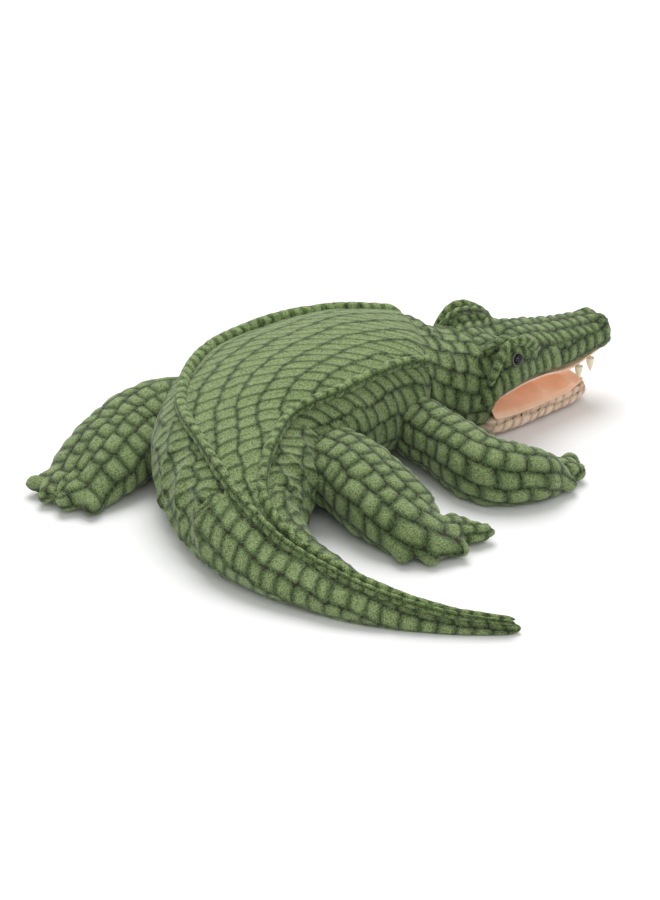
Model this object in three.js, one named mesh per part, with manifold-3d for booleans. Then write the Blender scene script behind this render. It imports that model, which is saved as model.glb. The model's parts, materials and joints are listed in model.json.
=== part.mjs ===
// Plush alligator hand puppet with a moving mouth, resting on its belly.
// Millimetres. +X runs from rump to shoulders, +Y is the animal's left, +Z is up.
// Soft pieces are plain closed solids. The walls of the torso, the neck and the jaws are padded
// cloth around the space for the arm, the fingers and the thumb.
import * as THREE from 'three';
import { mergeVertices } from 'three/addons/utils/BufferGeometryUtils.js';
import Module from 'manifold-3d';

const wasm = await Module();
wasm.setup();

// ---------------------------------------------------------------- driving dimensions

const GAP = 0.4;              // clearance between neighbouring pieces
const WALL = 6;               // padded wall of the torso
const LINING = 1.3;           // inner cloth
const PIPE_R = 4.4;           // raised ridge along each side of the back
const TAIL_PIPE_R = 3.2;      // the same ridges on the tail
const BELLY_SEAM = 2.1;       // section angle, in radians from the top, where flank meets belly
const FLOOR_PRESS = 3;        // how far the soft belly would reach below the floor if it weren't flat
const BOXY = 0.82;            // section exponent: 1 is an ellipse, lower is squarer

// Torso from the tail seam to the neck: middle of the back, half width, height of the back,
// half distance between the two ridges.
const TORSO = [
  { x: -87, y: -12, half: 25, top: 42, ridge: 5 },
  { x: -77, y: 8, half: 35, top: 54, ridge: 11 },
  { x: -57, y: 32, half: 49, top: 67, ridge: 23 },
  { x: -18, y: 64, half: 64, top: 79, ridge: 43 },
  { x: 33, y: 76, half: 75, top: 86, ridge: 57 },
  { x: 90, y: 68, half: 72, top: 89, ridge: 56 },
  { x: 128, y: 50, half: 62, top: 86, ridge: 48 },
  { x: 145, y: 38, half: 52, top: 80, ridge: 40 },
];
const HOLLOW_FROM = 0.17;     // torso fraction where the stuffed rump ends and the arm space starts
const ARM_OPENING = { at: 0.5, long: 112, wide: 84, corner: 30, hem: 3 };

// Tail from its seam to its tip.
const TAIL = [
  { x: -89, y: -16.5, half: 25, top: 41 },
  { x: -92, y: -38, half: 27, top: 35 },
  { x: -92, y: -62, half: 24.5, top: 28 },
  { x: -90, y: -94, half: 20, top: 22 },
  { x: -80, y: -127, half: 14.5, top: 17 },
  { x: -65, y: -158, half: 9.5, top: 13 },
  { x: -45, y: -192, half: 6, top: 9 },
];

const TAIL_BLUNT = { start: 3, end: 5 };
const TAIL_BOXY = 0.95;
const TAIL_PIPE_SPREAD = 3.7; // half distance between the two tail ridges

// Head: its own frame has u forward, v left and z up, from a point between the brows.
const HEAD = { x: 184, y: 3, turn: THREE.MathUtils.degToRad(-19.5) };
const JAW_PIVOT = { u: -21, z: 24 };
const UPPER = [
  { u: -21, half: 38, top: 72, boxy: 0.6, lip: 25 },
  { u: 2, half: 38, top: 75, boxy: 0.5, lip: 37 },
  { u: 28, half: 31, top: 68, boxy: 0.7, lip: 38 },
  { u: 60, half: 28, top: 65, boxy: 0.8, lip: 36.5 },
  { u: 88, half: 21, top: 62, boxy: 0.82, lip: 41 },
];
const LOWER = [
  { u: -18, half: 33, top: 16.5, low: 0.3 },
  { u: 10, half: 30, top: 15.5, low: 0.3 },
  { u: 42, half: 22, top: 15, low: 0.6 },
  { u: 65, half: 18, top: 16, low: 1.5 },
  { u: 84, half: 10, top: 17.5, low: 4 },
];
const JAW_WALL = 4.5;
const CHIN_WALL = 3;
const REAR_LEAN = 0.28;       // the head's rear edge leans forward, so the jaw can lift
const SNOUT_FROM = 88;
const SNOUT_TIP_END = 108;
const BOARD = 2;              // mouth board
const MOUTH_CLOTH = 1.5;
const POCKET_CLOTH = 1.3;
const BROW_R = 7;
const SIDES = [['left', 1], ['right', -1]];
const EYE = { u: -3, v: 34.5, z: 64, radius: 4.5, shank: 1.5, depth: 12, washer: 4.5 };
const TOOTH = { radius: 3, height: 10 };
const TEETH_AT = [{ u: 66, inset: 3.5 }, { u: 79, inset: 3.5 }];

// Neck sleeve from inside the torso to the back of the head.
const NECK = [
  { x: 139, y: 40, half: 34, top: 58 },
  { x: 147, y: 33.5, half: 34, top: 59 },
  { x: 154.5, y: 27, half: 32, top: 61 },
];
const NECK_BOTTOM = 9.5;
const NECK_SEAM = 2.0;

// Legs: root inside the flank first, then elbow or knee, wrist and palm.
const LEGS = {
  front_right: {
    cut: 0.66,
    path: [
      { x: 101, y: 18, half: 20, top: 52, low: 10 },
      { x: 94, y: -28, half: 20, top: 49, low: 3 },
      { x: 88, y: -67, half: 22, top: 42, low: 0 },
      { x: 105, y: -89, half: 20, top: 38, low: 0 },
      { x: 123, y: -97, half: 17, top: 30, low: 0 },
      { x: 134, y: -100, half: 12, top: 18, low: 0 },
    ],
    toes: [[140, -87, 60], [148, -96, 10], [141, -106, -30], [127, -110, -70]],
  },
  front_left: {
    cut: 0.66,
    path: [
      { x: 128, y: 84, half: 24, top: 50, low: 10 },
      { x: 142, y: 122, half: 23, top: 46, low: 3 },
      { x: 158, y: 150, half: 21, top: 40, low: 0 },
      { x: 182, y: 158, half: 19, top: 34, low: 0 },
      { x: 204, y: 156, half: 16, top: 25, low: 0 },
      { x: 216, y: 154, half: 12, top: 16, low: 0 },
    ],
    toes: [[216, 141, -60], [227, 150, -15], [226, 162, 20], [213, 170, 65]],
  },
  rear_right: {
    cut: 0.5,
    path: [
      { x: 12, y: 34, half: 30, top: 55, low: 10 },
      { x: 9, y: -16, half: 31, top: 54, low: 4 },
      { x: 2, y: -50, half: 29, top: 43, low: 0 },
      { x: 2, y: -74, half: 27, top: 31, low: 0 },
      { x: 8, y: -90, half: 24, top: 21, low: 0 },
      { x: 14, y: -97, half: 16, top: 15, low: 0 },
    ],
    toes: [[-22, -78, -140], [-14, -93, -115], [3, -101, -95], [23, -95, -12]],
  },
  rear_left: {
    cut: 0.68,
    path: [
      { x: 2, y: 100, half: 30, top: 52, low: 10 },
      { x: 1, y: 144, half: 32, top: 51, low: 3 },
      { x: -28, y: 153, half: 34, top: 48, low: 0 },
      { x: -62, y: 148, half: 34, top: 40, low: 0 },
      { x: -90, y: 146, half: 32, top: 29, low: 0 },
      { x: -106, y: 146, half: 27, top: 19, low: 0 },
    ],
    toes: [[-107, 124, -160], [-113, 139, -172], [-113, 155, 175], [-107, 169, 150]],
  },
};
const LEG_CLEARANCE = 1.6;
const TOE = { long: 11, wide: 7.6, high: 8 };

const COLORS = {
  green: 0x5f8a4e,
  greenDark: 0x46683a,
  peachPrint: 0xe3c29d,
  mouth: 0xf0b48f,
  ivory: 0xefe4c4,
  lining: 0x2f3a2c,
  board: 0xb9a88a,
  eye: 0x0a0a0a,
  washer: 0x1c1c1c,
};

// ---------------------------------------------------------------- closed solids

function mergedPositions(geometry) {
  const bare = geometry.clone();
  bare.deleteAttribute('normal');
  bare.deleteAttribute('uv');
  return mergeVertices(bare, 1e-4);
}

function signedVolume(geometry) {
  const p = geometry.attributes.position;
  const corner = [new THREE.Vector3(), new THREE.Vector3(), new THREE.Vector3()];
  let sum = 0;
  for (let i = 0; i < geometry.index.count; i += 3) {
    corner.forEach((c, k) => c.fromBufferAttribute(p, geometry.index.getX(i + k)));
    sum += corner[0].dot(corner[1].clone().cross(corner[2]));
  }
  return sum / 6;
}

function solid(geometry) {
  const merged = mergedPositions(geometry);
  const triangles = Uint32Array.from(merged.index.array);
  if (signedVolume(merged) < 0) {
    for (let i = 0; i < triangles.length; i += 3) {
      [triangles[i], triangles[i + 1]] = [triangles[i + 1], triangles[i]];
    }
  }
  const mesh = new wasm.Mesh({
    numProp: 3,
    vertProperties: Float32Array.from(merged.attributes.position.array),
    triVerts: triangles,
  });
  return new wasm.Manifold(mesh);
}

function geometryOf(manifold) {
  const mesh = manifold.getMesh();
  const geometry = new THREE.BufferGeometry();
  geometry.setAttribute('position', new THREE.BufferAttribute(mesh.vertProperties, 3));
  geometry.setIndex(new THREE.BufferAttribute(mesh.triVerts, 1));
  geometry.computeVertexNormals();
  return geometry;
}

// A box whose three directions, each 0 to 1, are sent to a place by map(a, b, c).
function slab(segmentsA, segmentsB, map) {
  const geometry = new THREE.BoxGeometry(1, 1, 1, segmentsA, segmentsB, 1);
  const p = geometry.attributes.position;
  for (let i = 0; i < p.count; i += 1) {
    const place = map(p.getX(i) + 0.5, p.getY(i) + 0.5, p.getZ(i) + 0.5);
    p.setXYZ(i, place.x, place.y, place.z);
  }
  return solid(geometry);
}

// A cylinder sent to a lofted shape by map(along, angle, radius), with flat ends.
function loft(around, rows, map) {
  const geometry = new THREE.CylinderGeometry(1, 1, 1, around, rows);
  const p = geometry.attributes.position;
  for (let i = 0; i < p.count; i += 1) {
    const radius = Math.hypot(p.getX(i), p.getZ(i));
    const place = map(p.getY(i) + 0.5, Math.atan2(p.getX(i), p.getZ(i)), radius);
    p.setXYZ(i, place.x, place.y, place.z);
  }
  return solid(geometry);
}

// Size of a stuffed shape's section at a place from -1 (its start) to 1 (its end). A higher
// bluntness gives a shorter round end.
function endScale(place, blunt) {
  const exponent = place < 0 ? blunt.start : blunt.end;
  return (1 - Math.abs(place) ** exponent) ** (1 / exponent);
}

// A sphere sent along a path by map(along, angle, scale): round at both ends, full between them.
function stuffed(around, rows, blunt, map) {
  const geometry = new THREE.SphereGeometry(1, around, rows);
  const p = geometry.attributes.position;
  for (let i = 0; i < p.count; i += 1) {
    const height = THREE.MathUtils.clamp(p.getY(i), -1, 1);
    const angle = Math.atan2(p.getX(i), p.getZ(i));
    const place = map((height + 1) / 2, angle, endScale(height, blunt));
    p.setXYZ(i, place.x, place.y, place.z);
  }
  return solid(geometry);
}

function tubeAlong(points, radius, sides, steps) {
  const shape = new THREE.Shape();
  for (let i = 0; i < sides; i += 1) {
    const angle = (2 * Math.PI * i) / sides;
    const step = i === 0 ? 'moveTo' : 'lineTo';
    shape[step](radius * Math.cos(angle), radius * Math.sin(angle));
  }
  shape.closePath();
  const extrudePath = new THREE.CatmullRomCurve3(points);
  return solid(new THREE.ExtrudeGeometry(shape, { steps, extrudePath, bevelEnabled: false }));
}

function placed(geometry, x, y, z) {
  return solid(geometry.translate(x, y, z));
}

// ---------------------------------------------------------------- stations and sections

function smooth(before, from, to, after, f) {
  const bend = 2 * before - 5 * from + 4 * to - after;
  const twist = -before + 3 * from - 3 * to + after;
  return 0.5 * (2 * from + (to - before) * f + bend * f * f + twist * f * f * f);
}

// Every value of a station list at a fraction t of its length, on a smooth curve.
function at(stations, t) {
  const last = stations.length - 1;
  const scaled = THREE.MathUtils.clamp(t, 0, 1) * last;
  const i = Math.min(Math.floor(scaled), last - 1);
  const pick = (k) => stations[THREE.MathUtils.clamp(k, 0, last)];
  const result = {};
  for (const key of Object.keys(stations[0])) {
    const around = [pick(i - 1)[key], pick(i)[key], pick(i + 1)[key], pick(i + 2)[key]];
    result[key] = smooth(...around, scaled - i);
  }
  return result;
}

function leftOf(stations, t) {
  const behind = at(stations, t - 0.01);
  const ahead = at(stations, t + 0.01);
  return new THREE.Vector2(behind.y - ahead.y, ahead.x - behind.x).normalize();
}

function power(value, exponent) {
  return Math.sign(value) * Math.abs(value) ** exponent;
}

function onSection(station, left, v, z) {
  return new THREE.Vector3(station.x + left.x * v, station.y + left.y * v, z);
}

// A point of a section that rests on the floor. The angle is 0 at the top and positive to the
// left, inset is measured inwards and scale shrinks the section about its middle.
function floorSection(stations, t, angle, inset, scale, boxy) {
  const s = at(stations, t);
  const low = Math.max(s.low ?? 0, 0);
  const middle = low + 0.43 * (s.top - low);
  const reach = Math.cos(angle) > 0 ? s.top - middle : middle - low + FLOOR_PRESS;
  const v = (s.half - inset) * scale * power(Math.sin(angle), boxy);
  const z = middle + (reach - inset) * scale * power(Math.cos(angle), boxy);
  return onSection(s, leftOf(stations, t), v, Math.max(z, low + inset));
}

function torsoPoint(t, angle, inset) {
  return floorSection(TORSO, t, angle, inset, 1, BOXY);
}

function ridgeAngle(t) {
  const s = at(TORSO, t);
  return Math.asin((s.ridge / s.half) ** (1 / BOXY));
}

// Solid of the whole torso grown outwards, to cut neighbours back from it.
function torsoEnvelope(grow) {
  return loft(32, 24, (t, angle, radius) => {
    const s = at(TORSO, t);
    if (radius < 0.5) return new THREE.Vector3(s.x, s.y, 0.43 * s.top);
    return torsoPoint(t, angle, -grow);
  });
}

// ---------------------------------------------------------------- torso

function between(low, high, f) {
  return low + (high - low) * f;
}

function torsoPanel(segmentsAcross, segmentsAlong, angles, insets) {
  return slab(segmentsAcross, segmentsAlong, (a, b, c) => {
    const t = between(HOLLOW_FROM, 1, b);
    const [low, high] = angles(t);
    return torsoPoint(t, between(low, high, a), between(insets[0], insets[1], c));
  });
}

function ridgePoints(side) {
  const count = 14;
  return Array.from({ length: count }, (_, i) => {
    const t = between(0.03, 0.985, i / (count - 1));
    return torsoPoint(t, side * ridgeAngle(t), -1);
  });
}

function ridgeTube(side, radius) {
  return tubeAlong(ridgePoints(side), radius, 8, 26);
}

function openingShape(grow) {
  const { long, wide, corner } = ARM_OPENING;
  const x = long / 2 + grow;
  const y = wide / 2 + grow;
  const r = corner + grow;
  const shape = new THREE.Shape();
  shape.moveTo(-x + r, -y);
  shape.lineTo(x - r, -y);
  shape.absarc(x - r, -y + r, r, -Math.PI / 2, 0, false);
  shape.absarc(x - r, y - r, r, 0, Math.PI / 2, false);
  shape.absarc(-x + r, y - r, r, Math.PI / 2, Math.PI, false);
  shape.absarc(-x + r, -y + r, r, Math.PI, 1.5 * Math.PI, false);
  return shape;
}

// Upright prism with the outline of the arm opening, on the belly's middle line.
function openingPrism(grow, low, high) {
  const depth = high - low;
  const geometry = new THREE.ExtrudeGeometry(openingShape(grow), {
    depth,
    bevelEnabled: false,
    curveSegments: 5,
  });
  const s = at(TORSO, ARM_OPENING.at);
  const left = leftOf(TORSO, ARM_OPENING.at);
  geometry.rotateZ(Math.atan2(-left.x, left.y));
  return placed(geometry, s.x, s.y, low);
}

function openingHem() {
  const outer = openingPrism(ARM_OPENING.hem, 0, WALL + LINING + 3 * GAP);
  return outer.subtract(openingPrism(0, -1, WALL + 10));
}

function torsoSolids() {
  const ridges = { left: ridgeTube(1, PIPE_R), right: ridgeTube(-1, PIPE_R) };
  const ridgeRoom = ridgeTube(1, PIPE_R + GAP).add(ridgeTube(-1, PIPE_R + GAP));
  const openingRoom = openingPrism(ARM_OPENING.hem + GAP, -5, 30);
  const seam = 0.015;
  const wall = [0, WALL];
  const skinIn = [WALL + 3 * GAP, WALL + 3 * GAP + LINING];
  const back = torsoPanel(10, 18, (t) => [seam - ridgeAngle(t), ridgeAngle(t) - seam], wall);
  const flank = (side) => {
    const edges = (t) => [side * (ridgeAngle(t) + seam), side * (BELLY_SEAM - seam)];
    return torsoPanel(6, 18, edges, wall);
  };
  const underneath = [BELLY_SEAM + seam, 2 * Math.PI - BELLY_SEAM - seam];
  const belly = torsoPanel(12, 18, () => underneath, wall);
  const sleeve = {
    top: torsoPanel(12, 14, () => [-BELLY_SEAM, BELLY_SEAM - seam], skinIn),
    bottom: torsoPanel(8, 14, () => underneath, skinIn),
  };
  return {
    back_panel: back.subtract(ridgeRoom),
    flank_panel_left: flank(1).subtract(ridgeRoom),
    flank_panel_right: flank(-1).subtract(ridgeRoom),
    belly_panel: belly.subtract(openingRoom),
    back_ridge_left: ridges.left,
    back_ridge_right: ridges.right,
    arm_opening_hem: openingHem(),
    sleeve_lining_top: sleeve.top,
    sleeve_lining_bottom: sleeve.bottom.subtract(openingRoom),
    rump_stuffing: rump().subtract(ridgeRoom),
  };
}

// Stuffed rump: round towards the tail, flat towards the arm space.
function rump() {
  const overrun = 0.1;
  const whole = stuffed(24, 12, { start: 2.5, end: 6 }, (along, angle, scale) => {
    const t = along * (HOLLOW_FROM + overrun);
    return floorSection(TORSO, t, angle, 0, scale, BOXY);
  });
  const s = at(TORSO, HOLLOW_FROM);
  const left = leftOf(TORSO, HOLLOW_FROM);
  const size = 300;
  const block = new THREE.BoxGeometry(size, size, size);
  block.translate(size / 2 - 1, 0, 0);
  block.rotateZ(Math.atan2(-left.x, left.y));
  return whole.subtract(placed(block, s.x, s.y, 0));
}

// ---------------------------------------------------------------- tail

function tailPoint(along, angle, scale) {
  return floorSection(TAIL, along, angle, 0, scale, TAIL_BOXY);
}

function tailRidgePoints(side) {
  const count = 12;
  return Array.from({ length: count }, (_, i) => {
    const t = between(0.09, 0.97, i / (count - 1));
    const top = tailPoint(t, 0, endScale(2 * t - 1, TAIL_BLUNT)).z;
    return onSection(at(TAIL, t), leftOf(TAIL, t), side * TAIL_PIPE_SPREAD, top + 1);
  });
}

function tailRidge(side, grow) {
  return tubeAlong(tailRidgePoints(side), TAIL_PIPE_R + grow, 8, 18);
}

function tailSolids() {
  const whole = stuffed(18, 20, TAIL_BLUNT, tailPoint);
  return {
    tail_body: whole.subtract(tailRidge(1, GAP)).subtract(tailRidge(-1, GAP)),
    tail_ridge_left: tailRidge(1, 0),
    tail_ridge_right: tailRidge(-1, 0),
  };
}

// ---------------------------------------------------------------- neck

function neckPanel(segmentsAcross, low, high) {
  return slab(segmentsAcross, 6, (a, b, c) => {
    const s = at(NECK, b);
    const angle = between(low, high, a);
    const inset = JAW_WALL * c;
    const middle = between(NECK_BOTTOM, s.top, 0.5);
    const v = (s.half - inset) * power(Math.sin(angle), BOXY);
    const z = middle + (s.top - middle - inset) * power(Math.cos(angle), BOXY);
    return onSection(s, leftOf(NECK, b), v, z);
  });
}

function neckSolids() {
  const seam = 0.012;
  return {
    neck_sleeve_top: neckPanel(14, -NECK_SEAM, NECK_SEAM),
    neck_sleeve_under: neckPanel(8, NECK_SEAM + seam, 2 * Math.PI - NECK_SEAM - seam),
  };
}

// ---------------------------------------------------------------- head

function headPoint(u, v, z) {
  const forward = new THREE.Vector2(Math.cos(HEAD.turn), Math.sin(HEAD.turn));
  return new THREE.Vector3(
    HEAD.x + forward.x * u - forward.y * v,
    HEAD.y + forward.y * u + forward.x * v,
    z,
  );
}

// Value of a station list at a distance u along the head.
function atU(stations, u, key) {
  const last = stations.length - 1;
  const clamped = THREE.MathUtils.clamp(u, stations[0].u, stations[last].u);
  let i = 0;
  while (i < last - 1 && stations[i + 1].u < clamped) i += 1;
  const f = (clamped - stations[i].u) / (stations[i + 1].u - stations[i].u);
  const pick = (k) => stations[THREE.MathUtils.clamp(k, 0, last)][key];
  return smooth(pick(i - 1), pick(i), pick(i + 1), pick(i + 2), f);
}

function upperLip(u) {
  return atU(UPPER, u, 'lip');
}

// Dome of the upper jaw from the right lip (-90 degrees) over the top to the left lip.
function upperDome(u, angle, inset) {
  const lip = upperLip(u);
  const boxy = atU(UPPER, u, 'boxy');
  const v = (atU(UPPER, u, 'half') - inset) * power(Math.sin(angle), boxy);
  const rise = (atU(UPPER, u, 'top') - lip - inset) * power(Math.cos(angle), boxy);
  return { v, z: lip + Math.max(rise, 0) };
}

function upperPanel(segmentsAcross, low, high, rear, front) {
  return slab(segmentsAcross, 20, (a, b, c) => {
    const angle = between(low, high, a);
    const start = rear + REAR_LEAN * (upperDome(rear, angle, 0).z - JAW_PIVOT.z);
    const u = between(start, front, b);
    const place = upperDome(u, angle, JAW_WALL * c);
    return headPoint(u, place.v, place.z);
  });
}

function upperEnvelope(grow) {
  return loft(36, 24, (along, angle, radius) => {
    const u = between(JAW_PIVOT.u - 4, SNOUT_FROM, along);
    const lip = upperLip(u);
    if (radius < 0.5) return headPoint(u, 0, lip + 10);
    const boxy = atU(UPPER, u, 'boxy');
    const v = (atU(UPPER, u, 'half') + grow) * power(Math.sin(angle), boxy);
    const rise = (atU(UPPER, u, 'top') - lip + grow) * power(Math.cos(angle), boxy);
    return headPoint(u, v, lip + Math.max(rise, -20));
  });
}

function snoutTip() {
  const end = UPPER[UPPER.length - 1];
  return stuffed(18, 10, { start: 9, end: 2.2 }, (along, angle, scale) => {
    const u = between(SNOUT_FROM + GAP, SNOUT_TIP_END, along);
    const lip = upperLip(u);
    const middle = lip + 9;
    const up = end.top - middle;
    const v = end.half * scale * power(Math.sin(angle), BOXY);
    const reach = Math.cos(angle) > 0 ? up : middle - lip;
    return headPoint(u, v, middle + reach * scale * power(Math.cos(angle), BOXY));
  });
}

function brow(side) {
  const points = [
    { u: 16, v: 30, z: 68 },
    { u: 2, v: 33, z: 76 },
    { u: -10, v: 35, z: 75 },
    { u: -12, v: 37.5, z: 62 },
  ];
  const path = new THREE.CatmullRomCurve3(points.map((p) => headPoint(p.u, side * p.v, p.z)));
  const whole = stuffed(12, 12, { start: 2.4, end: 2.4 }, (along, angle, scale) => {
    const centre = path.getPoint(along);
    const forward = path.getTangent(along);
    const across = new THREE.Vector3(0, 0, 1).cross(forward).normalize();
    const over = forward.clone().cross(across);
    const radius = BROW_R * scale;
    return centre.addScaledVector(across, radius * Math.sin(angle))
      .addScaledVector(over, radius * Math.cos(angle));
  });
  return whole.subtract(upperEnvelope(GAP));
}

// A round bar across the head, from one distance off the middle line to another.
function crossBar(radius, sides, u, z, from, to) {
  const bar = new THREE.CylinderGeometry(radius, radius, Math.abs(to - from), sides);
  bar.rotateZ(HEAD.turn);
  const centre = headPoint(u, (from + to) / 2, z);
  return placed(bar, centre.x, centre.y, centre.z);
}

function eye(side, grow) {
  const centre = headPoint(EYE.u, side * EYE.v, EYE.z);
  const ball = new THREE.SphereGeometry(EYE.radius + grow, 14, 10);
  const inside = side * (EYE.v - EYE.depth - grow);
  const shank = crossBar(EYE.shank + grow, 12, EYE.u, EYE.z, inside, side * EYE.v);
  return placed(ball, centre.x, centre.y, centre.z).add(shank);
}

function eyeWasher(side, grow) {
  const near = side * (EYE.v - EYE.depth + 0.5 - grow);
  const far = side * (EYE.v - EYE.depth + 2 + grow);
  const disc = crossBar(EYE.washer + grow, 16, EYE.u, EYE.z, near, far);
  return disc.subtract(crossBar(EYE.shank + GAP, 12, EYE.u, EYE.z, 0, side * EYE.v));
}

function eyeRoom(side) {
  return eye(side, GAP).add(eyeWasher(side, GAP));
}

// A flat sheet of the mouth between two heights above a lip line.
function mouthSheet(stations, lip, from, to, margin, low, high) {
  return slab(3, 24, (a, b, c) => {
    const u = between(from, to, b);
    const half = atU(stations, u, 'half') - margin;
    return headPoint(u, between(-half, half, a), lip(u) + between(low, high, c));
  });
}

// Half-round prism over a base line (side 1) or under it (side -1).
function arch(side, from, to, half, height, base) {
  return loft(16, 16, (along, angle, radius) => {
    const u = between(from, to, along);
    const v = half * radius * power(Math.sin(angle), BOXY);
    const up = height * Math.max(radius * power(Math.cos(angle), BOXY), 0);
    return headPoint(u, v, base(u) + side * (radius < 0.5 ? height / 2 : up));
  });
}

// Cloth arch over the board (side 1) or under it (side -1), closed in front.
function fingerPocket(side, from, to, half, height, base) {
  const sunk = 4;
  const inner = arch(
    side,
    from - 5,
    to - POCKET_CLOTH,
    half - POCKET_CLOTH,
    height - POCKET_CLOTH + sunk,
    (u) => base(u) - side * sunk,
  );
  return arch(side, from, to, half, height, base).subtract(inner);
}

function tooth(place, side) {
  const v = side * (atU(UPPER, place.u, 'half') - place.inset);
  const cone = new THREE.ConeGeometry(TOOTH.radius, TOOTH.height, 12);
  cone.rotateX(-Math.PI / 2);
  const base = Math.min(upperLip(place.u - TOOTH.radius), upperLip(place.u)) - MOUTH_CLOTH - 2 * GAP;
  const centre = headPoint(place.u, v, base - TOOTH.height / 2);
  return placed(cone, centre.x, centre.y, centre.z);
}

function upperJawSolids() {
  const shoulder = 0.72;
  const edge = Math.PI / 2;
  const seam = 0.008;
  const rear = JAW_PIVOT.u + 0.5;
  const skin = (low, high, count) => upperPanel(count, low, high, rear, SNOUT_FROM);
  const lid = mouthSheet(UPPER, upperLip, rear + 1, SNOUT_FROM, 0.6, -GAP - MOUTH_CLOTH, -GAP);
  const boardHalf = JAW_WALL + 3;
  const solids = {
    head_top: skin(-shoulder, shoulder, 8).subtract(eyeRoom(1)).subtract(eyeRoom(-1)),
    head_side_left: skin(shoulder + seam, edge, 7).subtract(eyeRoom(1)),
    head_side_right: skin(-edge, -shoulder - seam, 7).subtract(eyeRoom(-1)),
    snout_tip: snoutTip(),
    mouth_lining_upper: lid,
    mouth_board_upper: mouthSheet(UPPER, upperLip, -8, 78, boardHalf, GAP, GAP + BOARD),
    finger_pocket: fingerPocket(1, 2, 58, 21, 17, (u) => upperLip(u) + 2 * GAP + BOARD),
  };
  for (const [name, side] of SIDES) {
    solids[`brow_${name}`] = brow(side).subtract(eye(side, GAP));
    solids[`eye_${name}`] = eye(side, 0);
    solids[`eye_washer_${name}`] = eyeWasher(side, 0);
    TEETH_AT.forEach((place, i) => {
      solids[`tooth_${name}_${i + 1}`] = tooth(place, side);
    });
  }
  return solids;
}

function lowerLip(u) {
  return atU(LOWER, u, 'top');
}

function chin() {
  const [rear, front] = [LOWER[0].u, LOWER[LOWER.length - 1].u];
  const trough = (inset, start, end, top) => loft(18, 10, (along, angle, radius) => {
    const u = between(start, end, along);
    const lip = lowerLip(u) + top;
    const round = Math.sqrt(THREE.MathUtils.clamp((end + 2 - u) / 12, 0.05, 1));
    const v = (atU(LOWER, u, 'half') - inset) * round * radius * power(Math.sin(angle), BOXY);
    const down = Math.max(-power(Math.cos(angle), BOXY), 0) * radius;
    const depth = radius < 0.5 ? 0.5 : down;
    return headPoint(u, v, lip - (lip - atU(LOWER, u, 'low') - inset) * depth);
  });
  return trough(0, rear, front, 0).subtract(trough(CHIN_WALL, rear - 5, front - 8, 5));
}

function lowerJawSolids() {
  const [rear, front] = [LOWER[0].u + 0.5, LOWER[LOWER.length - 1].u];
  const boardIn = CHIN_WALL + 3;
  const under = (u) => lowerLip(u) - 2 * GAP - BOARD;
  return {
    chin: chin(),
    mouth_lining_lower: mouthSheet(LOWER, lowerLip, rear, front, 0.6, GAP, GAP + MOUTH_CLOTH),
    mouth_board_lower: mouthSheet(LOWER, lowerLip, rear + 2, 68, boardIn, -GAP - BOARD, -GAP),
    thumb_pocket: fingerPocket(-1, -8, 30, 13, 8.4, under),
  };
}

// ---------------------------------------------------------------- legs

function toes(leg) {
  return leg.toes.map(([x, y, heading]) => {
    const ball = new THREE.SphereGeometry(1, 10, 7);
    ball.scale(TOE.long, TOE.wide, TOE.high);
    ball.rotateZ(THREE.MathUtils.degToRad(heading));
    return placed(ball, x, y, TOE.high);
  });
}

// Large block covering everything past the wrist, from its plane shifted by an amount.
function pastWrist(leg, shift) {
  const s = at(leg.path, leg.cut);
  const left = leftOf(leg.path, leg.cut);
  const size = 150;
  const block = new THREE.BoxGeometry(size, size, size);
  block.translate(size / 2 + shift, 0, 0);
  block.rotateZ(Math.atan2(-left.x, left.y));
  return placed(block, s.x, s.y, 0);
}

function legSolids(name, torso) {
  const leg = LEGS[name];
  const limb = stuffed(16, 14, { start: 9, end: 7 }, (along, angle, scale) => {
    return floorSection(leg.path, along, angle, 0, scale, 0.9);
  });
  const paw = toes(leg).reduce((sum, toe) => sum.add(toe), limb.intersect(pastWrist(leg, GAP)));
  return {
    [`leg_${name}`]: limb.subtract(pastWrist(leg, 0)).subtract(torso),
    [`foot_${name}`]: paw,
  };
}

// ---------------------------------------------------------------- assembly

const LOOK = [
  [/^eye_washer/, COLORS.washer, 0.5],
  [/^eye_/, COLORS.eye, 0.12],
  [/^tooth_/, COLORS.ivory, 0.6],
  [/^mouth_lining/, COLORS.mouth, 0.85],
  [/^mouth_board/, COLORS.board, 0.9],
  [/lining|pocket/, COLORS.lining, 0.95],
  [/^(chin|belly|neck_sleeve_under)/, COLORS.peachPrint, 0.9],
  [/ridge|brow|hem/, COLORS.greenDark, 0.95],
  [/./, COLORS.green, 0.95],
];

function meshFor(name, manifold) {
  const [, color, roughness] = LOOK.find(([pattern]) => pattern.test(name));
  const material = new THREE.MeshStandardMaterial({ color, roughness, metalness: 0 });
  const mesh = new THREE.Mesh(geometryOf(manifold), material);
  mesh.name = name;
  return mesh;
}

function buildPuppet() {
  const roomForTorso = torsoEnvelope(LEG_CLEARANCE);
  const solids = {
    ...torsoSolids(),
    ...tailSolids(),
    ...neckSolids(),
    ...upperJawSolids(),
    ...lowerJawSolids(),
  };
  for (const name of Object.keys(LEGS)) Object.assign(solids, legSolids(name, roomForTorso));
  const puppet = new THREE.Group();
  for (const [name, manifold] of Object.entries(solids)) puppet.add(meshFor(name, manifold));
  const box = new THREE.Box3().setFromObject(puppet);
  const middle = box.getCenter(new THREE.Vector3());
  puppet.position.set(-middle.x, -middle.y, -box.min.z);
  puppet.updateMatrixWorld(true);
  return puppet;
}

export default buildPuppet();
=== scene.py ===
import json
import math

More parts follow.
